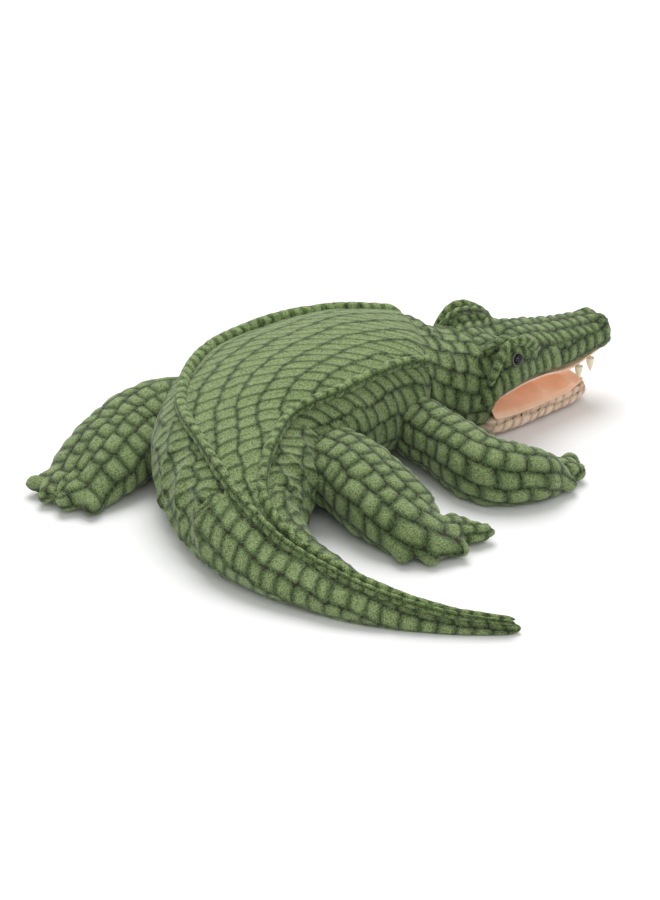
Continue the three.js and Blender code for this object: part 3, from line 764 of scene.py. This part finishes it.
def make_tail():
    t, angles, grid, attributes = body_skin(0.0, TORSO_FROM + TAIL_OVERLAP, 2.6, MESH_STEP, 2.6, 0.35)
    tip = np.clip(1 - t / 0.035, 0, 1)[:, None, None]
    middle = grid.mean(axis=1, keepdims=True)
    grid = middle + (grid - middle) * np.sqrt(1 - 0.97 * tip ** 2)
    faces = grid_faces(len(t), len(angles), True, True, False)
    skin = new_object("tail_skin", grid, faces, attributes)
    paint(skin, LOOKS["plush"])
    blend_tail(skin)
    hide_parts("tail_body")


def blend_tail(obj):
    """Bakes the piece's placement into its points."""
    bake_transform(obj)


# ---- sewn ridges

def pipe(name, centres, outward, radius, flat, crease, line_every, seed):
    """A stuffed ridge along a line: pinched lengthwise, with a printed line across every few mm."""
    columns = 30
    along = path_length(centres)
    forward = unit(np.gradient(centres, axis=0))
    outward = unit(outward - forward * np.sum(outward * forward, axis=1, keepdims=True))
    side = np.cross(forward, outward)
    angle = ring(columns)[None]
    s = along[:, None] + 0 * angle
    index = np.floor(s / line_every).astype(np.int64)
    sway = 0.25 * lattice_random(index, index * 0, index * 0, seed)
    over = s / line_every - index - 0.5 + sway * np.cos(angle * 2)
    cross_edge = (0.5 - np.abs(over)) * line_every
    crease_edge = np.abs((angle - crease + math.pi) % (2 * math.pi) - math.pi) * radius[:, None]
    edge = np.minimum(np.abs(cross_edge), crease_edge)
    pinch = 1 - 0.20 * np.exp(-(crease_edge / 1.5) ** 2)
    r = radius[:, None] * pinch
    across = np.sin(angle) * r * flat
    up = np.cos(angle) * r
    points = centres[:, None] + side[:, None] * across[..., None] + outward[:, None] * up[..., None]
    bulge = puff(edge, 0.5, 1.8) - 0.3 + 0.35 * field(points, 12, seed) + pile(points)
    away = unit(points - centres[:, None])
    points = points + away * (bulge * np.minimum(1, radius[:, None] / 2.5))[..., None]
    tone = 0.5 + 0.5 * lattice_random(index, index * 0 + 1, index * 0, seed)
    faces = grid_faces(len(centres), columns, True, True, True)
    obj = new_object(name, points, faces, {"edge": edge, "tone": tone})
    paint(obj, LOOKS["ridge"])
    return obj


def end_taper(count, rows):
    place = np.minimum(np.arange(count), np.arange(count)[::-1]) / rows
    return np.sqrt(np.clip(1 - (1 - np.clip(place, 0, 1)) ** 2, 0.02, 1))


def make_ridge(name, side):
    t = body_rows(0.012, 0.985, MESH_STEP)
    angle = side * ridge_angle(t)
    on_skin = body_point(t, angle)
    grid = body_point(np.stack([t - 0.002, t, t + 0.002]), np.stack([angle] * 3))
    step = 0.03
    around = body_point(t, angle + step) - body_point(t, angle - step)
    outward = np.cross(around, grid[2] - grid[0])
    outward = unit(outward * np.sign(outward[:, 2:]))
    thick = 1.9 + 1.3 * smoothstep(0.0, 0.2, t) + 1.5 * smoothstep(0.30, 0.62, t)
    radius = thick * end_taper(len(t), 6)
    centres = on_skin + outward * (0.8 + 0.2 * thick - 4.0 * smoothstep(0.95, 0.985, t))[:, None]
    centres = centres + 0.8 * drift(on_skin, 30, 41)
    ridge = pipe(name, centres, outward, radius, 0.86, -side * 0.75, 9.0, 50 + side)
    blend_tail(ridge)
    return ridge


# ---- neck

def head_section(angle, u, half, top, bottom, boxy):
    middle = (top + bottom) / 2
    v = half * signed_power(np.sin(angle), boxy)
    z = middle + (top - middle) * signed_power(np.cos(angle), boxy)
    lean = np.maximum(z - JAW_PIVOT[1], 0) * NECK_LEAN
    return head_point(u + lean, v, z)


def make_neck():
    columns = 260
    angle = ring(columns)
    rear = body_point(np.full(columns, 0.972), angle, 2.5)
    front = head_section(angle, -19.0, 35.0, 68.5, 4.0, 0.75)
    rows = 62
    f = np.linspace(0, 1, rows)[:, None, None]
    grid = rear * (1 - f) + front * f
    swell = 2.5 * np.sin(math.pi * f)
    normal = grid_normals(grid, True)
    grid = grid + normal * swell
    around = path_length(np.swapaxes(grid, 0, 1)).T
    around -= around[:, columns // 2][:, None]
    along = path_length(grid)
    edge, tone = cells(np.abs(around) + 1.5 * field(grid, 20, 61), along, (14.0, 11.0), 0.14, seed=62)
    folds = creases(along + 0.25 * around, 24.0, 2.2, 3.0)
    lift = puff(edge, 1.3) + 0.8 * field(grid, 18, 63) + folds + pile(grid)
    lift = lift * smoothstep(0, 5, grid[..., 2])
    grid = grid + normal * lift[..., None]
    faces = grid_faces(rows, columns, True)
    neck = new_object("neck_skin", grid, faces, {"edge": edge, "tone": tone})
    paint(neck, LOOKS["plush"])
    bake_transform(neck)
    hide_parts("neck_sleeve_top", "neck_sleeve_under")


# ---- head

def head_form():
    """Upper jaw: a closed dome over the lip, from the neck to the end of the nose."""
    rows, columns = 70, 64
    place = np.linspace(-1, 1, rows)[:, None]
    angle = ring(columns)[None]
    u = HEAD_FROM + (HEAD_TO - HEAD_FROM) * (place + 1) / 2
    scale = end_scale(place, 14.0, 5.0)
    half, top, boxy = np.moveaxis(curve(HEAD, u), -1, 0)
    lip = upper_lip(u)
    middle = lip + 0.3 * (top - lip)
    v = half * scale * signed_power(np.sin(angle), boxy)
    up = np.where(np.cos(angle) > 0, top - middle, middle - lip)
    z = middle + up * scale * signed_power(np.cos(angle), boxy)
    valley = 6.0 * np.exp(-(v / 17.0) ** 2) * np.exp(-((u - 2) / 12.0) ** 2) * np.clip(np.cos(angle), 0, 1)
    lean = np.maximum(z - JAW_PIVOT[1], 0) * NECK_LEAN * np.clip((20 - u) / 40, 0, 1)
    points = head_point(u + lean, v, z - valley)
    return points, grid_faces(rows, columns, True, True, True)


def head_ball(u, v, z, size, pitch=0.0):
    points, faces = ellipsoid((0, 0, 0), size)
    c, s = math.cos(pitch), math.sin(pitch)
    x = c * points[..., 0] + s * points[..., 2]
    height = -s * points[..., 0] + c * points[..., 2]
    return head_point(u + x, v + points[..., 1], z + height), faces


def head_coordinates(points):
    c, s = math.cos(HEAD_TURN), math.sin(HEAD_TURN)
    x = points[:, 0] - HEAD_AT[0]
    y = points[:, 1] - HEAD_AT[1]
    return c * x + s * y, c * y - s * x, points[:, 2]


def make_head():
    forms = [head_form()]
    for side in (-1, 1):
        forms.append(head_ball(-3, side * 28.0, 62.0, (27, 9.5, 17.5), 0.14))
        forms.append(head_ball(-2, side * 31.5, 61.0, (15, 6.5, 15.0), 0.1))
        forms.append(head_ball(93, side * 7.5, 57.5, (9, 9, 8)))
    forms.append(head_ball(90, 0, 50.0, (15.5, 21, 13), -0.1))
    points, faces = remeshed(forms, 1.25, 9)
    normal = point_normals(points, faces)
    u, v, z = head_coordinates(points)
    lip = upper_lip(u)
    across = v + 1.2 * field(points, 18, 71) + 400
    top_edge, top_tone = cells(across, u - 0.012 * v * v, (12.5, 8.0), 0.12, seed=72)
    hand = np.where(v > 0, 500.0, 0.0)
    down = lip + 60 - z + hand
    side_edge, side_tone = cells(down, u + 0.25 * z, (19.0, 8.5), 0.14, seed=73)
    nose_edge, nose_tone = cells(down, u + 1.2 * field(points, 12, 74), (10.5, 9.0), 0.14, seed=75)
    steep = np.abs(normal[:, 2]) < SIDE_BELOW
    choice = np.where(steep, np.where(u > 46, 2, 1), 0)
    edge = np.choose(choice, [top_edge, side_edge, nose_edge])
    tone = np.choose(choice, [top_tone, side_tone, nose_tone])
    edge = np.minimum(edge, np.abs(np.abs(normal[:, 2]) - SIDE_BELOW) * 22 + 0.35)
    height = np.choose(choice, [1.3, 1.6, 1.5])
    lift = puff(edge, height * (0.75 + 0.5 * tone), 2.0) - 0.5 + 0.7 * field(points, 16, 76) + pile(points)
    lift = np.where(z < lip + 1.5, 0.2 * lift, lift)
    pocket = np.exp(-((u + 20) / 6.0) ** 2 - ((z - 67) / 8.0) ** 2) * smoothstep(20, 30, np.abs(v))
    lift = lift - 5.0 * pocket
    points = points + normal * lift[:, None]
    head = new_object("head_skin", points, faces, {"edge": edge, "tone": tone})
    paint(head, LOOKS["plush"])
    start, end = (tuple(to_frame(head_point(u, 0.0, 30.0))) for u in (-34.0, -8.0))
    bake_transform(head)
    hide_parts("head_top", "head_side_left", "head_side_right", "snout_tip")


def make_brow(name, side):
    route = [(22, 31, 63), (13, 34, 71), (1, 36, 77.5), (-10, 37, 75.5), (-18, 38.5, 64), (-25, 39, 49)]
    t = np.linspace(0, 1, 90)
    path = spline(route, t)
    centres = head_point(path[:, 0], side * path[:, 1], path[:, 2])
    middle = head_point(-3.0, side * 24.0, 54.0)
    radius = 4.1 * end_taper(len(t), 14)
    brow = pipe(name, centres, centres - middle, radius, 0.85, 1.0, 7.0, 80 + side)
    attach(brow, "upper_jaw")
    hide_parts(name.replace("_pipe", ""))


def lathe(name, profile, centre, axis, columns=40):
    """Round piece from (radius, height) pairs, its height along an axis."""
    axis = np.asarray(axis, float) / np.linalg.norm(axis)
    first = np.cross(axis, (0.0, 0.0, 1.0))
    first /= np.linalg.norm(first)
    second = np.cross(axis, first)
    angle = np.linspace(0, 2 * math.pi, columns, endpoint=False)
    ring = np.cos(angle)[:, None] * first + np.sin(angle)[:, None] * second
    rows = [np.asarray(centre) + axis * height + ring * radius for radius, height in profile]
    return new_object(name, np.concatenate(rows), grid_faces(len(profile), columns, True, True, True))


def make_eye(name, side):
    axis = head_point(0.25, side * 1.0, 0.0) - head_point(0.0, 0.0, 0.0)
    axis[2] = 0.18
    centre = head_point(EYE_AT[0], side * EYE_AT[1], EYE_AT[2])
    dome = [(4.4 * math.cos(a), 4.4 * math.sin(a)) for a in np.linspace(0, 1.5, 14)]
    ball = lathe(f"{name}_ball", [(2.0, -4.0), (4.0, -1.2)] + dome, centre, axis)
    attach(paint(ball, LOOKS["eye"]), "upper_jaw")
    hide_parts(name)
    turn = np.linspace(0, 2 * math.pi, 12, endpoint=False)
    rim = [(4.5 + 0.75 * math.cos(a), -0.1 + 0.75 * math.sin(a)) for a in turn]
    ring = lathe(f"{name}_rim", rim + rim[:1], centre, axis)
    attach(paint(ring, LOOKS["rim"]), "upper_jaw")


def make_tooth(name):
    """Felt cone, a little curved and blunt."""
    low, high = (np.array(part) * 1000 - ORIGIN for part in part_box(name))
    middle = (low + high) / 2
    radius = 0.5 * (high[0] - low[0])
    rows, columns = 16, 24
    f = np.linspace(0, 1, rows)[:, None]
    angle = np.linspace(0, 2 * math.pi, columns, endpoint=False)[None]
    r = radius * (1 - 0.86 * f ** 1.5) * np.sqrt(1 - f ** 6 * 0.9)
    hook = 1.3 * f ** 2
    x = middle[0] + r * np.cos(angle) + hook
    y = middle[1] + r * np.sin(angle)
    root = high[2] + 1.5
    z = root - (root - low[2]) * f + 0 * angle
    grid = np.stack([x, y, z], axis=-1)
    grid = grid + 0.25 * drift(grid, 2.5, 91)
    tooth = new_object(f"{name}_felt", grid, grid_faces(rows, columns, True, True, True))
    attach(paint(tooth, LOOKS["felt"]), "upper_jaw")
    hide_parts(name)


# ---- mouth

def mouth_pad(name, outline, surface, thick, body, node):
    """Velour lining over the board: outline gives the half width at u, surface its height."""
    low, high = outline[0][0], outline[-1][0]
    rows, columns = 90, 60
    u = np.linspace(low, high, rows)[:, None]
    places = [row[0] for row in outline]
    half = np.interp(u, places, [row[1] for row in outline])
    v = np.linspace(-1, 1, columns)[None] * half
    u, v = np.broadcast_arrays(u, v)
    top = head_point(u, v, surface(u, v))
    soft = 0.35 * field(top, 9, 95) + 0.8 * pile(top)
    top[..., 2] += soft
    bottom = top.copy()
    bottom[..., 2] -= thick
    count = rows * columns
    faces = grid_faces(rows, columns, False)
    faces += [[k + count for k in reversed(face)] for face in grid_faces(rows, columns, False)]
    rim = [j for j in range(columns)] + [i * columns + columns - 1 for i in range(1, rows)]
    rim += [(rows - 1) * columns + j for j in range(columns - 2, -1, -1)]
    rim += [i * columns for i in range(rows - 2, 0, -1)]
    faces += [[a, b, b + count, a + count] for a, b in zip(rim, rim[1:] + rim[:1])]
    pad = new_object(name, np.concatenate([top.reshape(-1, 3), bottom.reshape(-1, 3)]), faces)
    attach(paint(pad, LOOKS["mouth"]), body)
    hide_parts(node)


def cross_folds(u, v, height):
    """Two curved folds across the mouth lining."""
    return sum(height * np.exp(-((u - at - 0.006 * v * v) / 4.2) ** 2) for at in (40.0, 64.0))


def lower_lip(u):
    return curve(CHIN, u)[..., 1]


def make_chin():
    """Tan lower jaw: a stuffed lip round the mouth and a flat underside."""
    rows, columns = 60, 56
    place = np.linspace(-1, 1, rows)[:, None]
    u = CHIN[0][0] + (CHIN[-1][0] - CHIN[0][0]) * (place + 1) / 2
    half, top, bottom = np.moveaxis(curve(CHIN, u), -1, 0)
    scale = end_scale(place, 12.0, 7.0)
    angle = ring(columns)[None]
    v = half * scale * signed_power(np.sin(angle), 0.6)
    z = (top + bottom) / 2 + (top - bottom) / 2 * scale * signed_power(np.cos(angle), 0.6)
    sunk = 3.2 * smoothstep(0.84, 0.6, np.abs(v) / half) * (np.cos(angle) > 0) * smoothstep(84, 74, u)
    form = (head_point(u, v, z - sunk), grid_faces(rows, columns, True, True, True))
    points, faces = remeshed([form], 1.15, 4)
    normal = point_normals(points, faces)
    u, v, z = head_coordinates(points)
    hand = np.where(v > 0, 400.0, 0.0)
    level = lower_lip(u) - z
    under = np.abs(normal[:, 2]) > 0.8
    low = (normal[:, 2] < 0) & under
    down = np.where(low, 40 + v, level + hand + 3.5)
    edge, tone = cells(down + 0.8 * field(points, 7, 101), u + 0.5 * level, (8.0, 8.5), 0.14, 0.5, 102)
    lift = puff(edge, 0.9, 1.6) - 0.4 + 0.4 * field(points, 10, 103) + 0.7 * pile(points)
    lift = np.where(z < 1.5, 0.0, lift)
    points = points + normal * lift[:, None]
    points[:, 2] = np.maximum(points[:, 2], 0.3)
    chin = new_object("chin_skin", points, faces, {"edge": edge, "tone": tone})
    paint(chin, LOOKS["belly"])
    start, end = (tuple(to_frame(head_point(u, 0.0, 10.0))) for u in (-26.0, -6.0))
    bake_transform(chin)
    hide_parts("chin")


def make_mouth():
    inset = 3.0
    lower = [(row[0], row[1] - inset) for row in CHIN[:-1]] + [(CHIN[-1][0] - 4, CHIN[-1][1] - 4.5)]

    def floor_height(u, v):
        curl = MOUTH_BACK * smoothstep(-11, CHIN[0][0] + 1, u)
        edge = 1.8 * smoothstep(0.84, 1.0, np.abs(v) / (curve(CHIN, u)[..., 0] - inset))
        return lower_lip(u) + 1.2 - edge + curl + cross_folds(u, v, 4.2) * np.exp(-(v / 16.0) ** 4)

    def roof_height(u, v):
        return upper_lip(u) + 0.9 - cross_folds(u, v, 1.6) * np.exp(-(v / 15.0) ** 4)

    mouth_pad("mouth_velour_lower", lower, floor_height, 2.0, "lower_jaw", "mouth_lining_lower")
    upper = [(-19, 31), (2, 33), (28, 27), (60, 23.5), (88, 16), (98, 9)]
    mouth_pad("mouth_velour_upper", upper, roof_height, 1.5, "upper_jaw", "mouth_lining_upper")


# ---- legs

def limb_form(path):
    rows, columns = 60, 40
    place = np.linspace(-1, 1, rows)[:, None]
    t = (place + 1) / 2 + 0 * np.zeros((1, columns))
    angle = ring(columns)[None] + 0 * t
    scale = end_scale(place, 7.0, 6.0)
    s = spline(path, t)
    x, y, half, top, low = (s[..., k] for k in range(5))
    middle = low + MIDDLE * (top - low)
    reach = np.where(np.cos(angle) > 0, top - middle, middle - low + 2)
    v = half * scale * signed_power(np.sin(angle), 0.9)
    z = middle + reach * scale * signed_power(np.cos(angle), 0.9)
    left = lateral(path, t)
    grid = np.stack([x + left[..., 0] * v, y + left[..., 1] * v, np.maximum(z, low + 0.4)], axis=-1)
    return grid, grid_faces(rows, columns, True, True, True)


def path_coordinates(points, path):
    """For each point: mm round the limb from its top, mm along it, and which side it is on."""
    fine = np.linspace(0, 1, 160)
    centre = spline(path, fine)
    length = path_length(centre[:, :2])
    away = np.linalg.norm(points[:, None, :2] - centre[None, :, :2], axis=2)
    nearest = np.argmin(away, axis=1)
    forward = unit(np.gradient(centre[:, :2], axis=0))
    offset = points[:, :2] - centre[nearest, :2]
    ahead = np.sum(offset * forward[nearest], axis=1)
    side = forward[nearest, 0] * offset[:, 1] - forward[nearest, 1] * offset[:, 0]
    middle = 0.45 * centre[nearest, 3]
    angle = np.arctan2(side, np.maximum(points[:, 2], 0) - middle)
    radius = 0.5 * (centre[nearest, 2] + 0.55 * centre[nearest, 3])
    return angle * radius, length[nearest] + ahead


def make_leg(name, seed):
    leg = LEGS[name]
    forms = [limb_form(leg["path"])]
    for x, y, heading, long, wide in leg["toes"]:
        turn = math.radians(heading)
        middle = (x - TOE_ROOT * math.cos(turn), y - TOE_ROOT * math.sin(turn), TOE_HEIGHT)
        forms.append(ellipsoid(middle, (long + TOE_ROOT, wide, TOE_HEIGHT), turn))
    x, y, long, wide, high = leg["paw"]
    forms.append(ellipsoid((x, y, high - 1), (long, wide, high)))
    points, faces = remeshed(forms, 1.3, 14)
    normal = point_normals(points, faces)
    around, along = path_coordinates(points, leg["path"])
    around = around + 1.8 * field(points, 24, seed) + 300
    along = along + 1.8 * field(points, 24, seed + 1)
    edge, tone = cells(around, along, (14.0, 12.0), 0.12, seed=seed)
    waves = 1.2 * field(points, 26, seed + 2) + 0.6 * field(points, 12, seed + 3)
    lift = puff(edge, 1.9 * (0.75 + 0.5 * tone)) - 0.9 + waves + pile(points)
    points = points + normal * (lift * smoothstep(0.0, 4.0, points[:, 2]))[:, None]
    points[:, 2] = np.maximum(points[:, 2], 0.3)
    skin = new_object(f"leg_skin_{name}", points, faces, {"edge": edge, "tone": tone})
    paint(skin, LOOKS["plush"])
    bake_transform(skin)
    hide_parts(f"leg_{name}", f"foot_{name}")


# ---- cloth and board inside

def soft_copy(name, nodes, look, body, depth):
    """Inner cloth cut to the CAD pieces' shape, with its creases."""
    points = []
    faces = []
    for node in nodes:
        mesh = frame["nodes"][node].data
        start = len(points)
        points += [np.array(vertex.co) * 1000 - ORIGIN for vertex in mesh.vertices]
        faces += [[start + k for k in polygon.vertices] for polygon in mesh.polygons]
    obj = plain_object("form", points, faces)
    weld = obj.modifiers.new("weld", "WELD")
    weld.merge_threshold = 0.01
    finer = obj.modifiers.new("finer", "SUBSURF")
    finer.subdivision_type = "SIMPLE"
    finer.levels = 2
    points, faces = mesh_arrays(obj)
    points = relaxed(points, faces, 3)
    piece = new_object(name, points + depth * drift(points, 11, 111), faces)
    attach(paint(piece, LOOKS[look]), body)
    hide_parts(*nodes)


def make_inside():
    soft_copy("arm_sleeve", ["sleeve_lining_top", "sleeve_lining_bottom"], "lining", "torso",
              0.7)
    soft_copy("arm_opening_binding", ["arm_opening_hem"], "lining", "torso", 0.3)
    soft_copy("finger_sleeve", ["finger_pocket"], "lining", "upper_jaw", 0.5)
    soft_copy("thumb_sleeve", ["thumb_pocket"], "lining", "lower_jaw", 0.4)
    for node in ("mouth_board_upper", "mouth_board_lower"):
        paint(frame["nodes"][node], LOOKS["board"])
    for node in ("eye_washer_left", "eye_washer_right"):
        paint(frame["nodes"][node], LOOKS["washer"])


# ---- studio

def make_studio():
    world = bpy.data.worlds.new("studio")
    bpy.context.scene.world = world
    world.use_nodes = True
    background = world.node_tree.nodes["Background"]
    background.inputs["Color"].default_value = (1.0, 1.0, 1.0, 1.0)
    background.inputs["Strength"].default_value = WORLD_LIGHT
    corners = [(x * FLOOR_REACH, y * FLOOR_REACH, 0) for x, y in ((-1, -1), (1, -1), (1, 1), (-1, 1))]
    plane = new_object("floor", corners, [[0, 1, 2, 3]])
    material, _, shader = nodes_of("floor_paper")
    shader.inputs["Roughness"].default_value = 0.9
    shader.inputs["Base Color"].default_value = (0.93, 0.93, 0.93, 1.0)
    paint(plane, material)
    for name, place, size, power in LAMPS:
        light = bpy.data.lights.new(name, "AREA")
        light.shape = "DISK"
        light.size = size
        light.energy = power
        lamp = linked(name, light)
        lamp.location = place
        lamp.rotation_euler = (-Vector(place)).to_track_quat("-Z", "Y").to_euler()
    bpy.context.scene.view_settings.view_transform = "Standard"


def make_camera():
    azimuth, elevation = (math.radians(a) for a in CAMERA["from"])
    target = Vector(to_frame(CAMERA["target"]))
    away = Vector((math.sin(azimuth) * math.cos(elevation), -math.cos(azimuth) * math.cos(elevation),
                   math.sin(elevation)))
    data = bpy.data.cameras.new("camera")
    data.lens = CAMERA["lens"]
    data.shift_y = CAMERA["shift_y"]
    camera = linked("camera", data)
    camera.location = target + away * CAMERA["distance"]
    camera.rotation_euler = (-away).to_track_quat("-Z", "Y").to_euler()
    bpy.context.scene.camera = camera


# ---- the puppet

make_camera()
make_studio()
make_torso()
make_tail()
make_neck()
make_head()
make_chin()
make_mouth()
for hand, way in (("left", 1), ("right", -1)):
    ridge = make_ridge(f"ridge_{hand}", way)
    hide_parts(f"back_ridge_{hand}", f"tail_ridge_{hand}")
    make_brow(f"brow_pipe_{hand}", way)
    make_eye(f"eye_{hand}", way)
    for number in (1, 2):
        make_tooth(f"tooth_{hand}_{number}")
for number, leg_name in enumerate(LEGS):
    make_leg(leg_name, 120 + 10 * number)
make_inside()
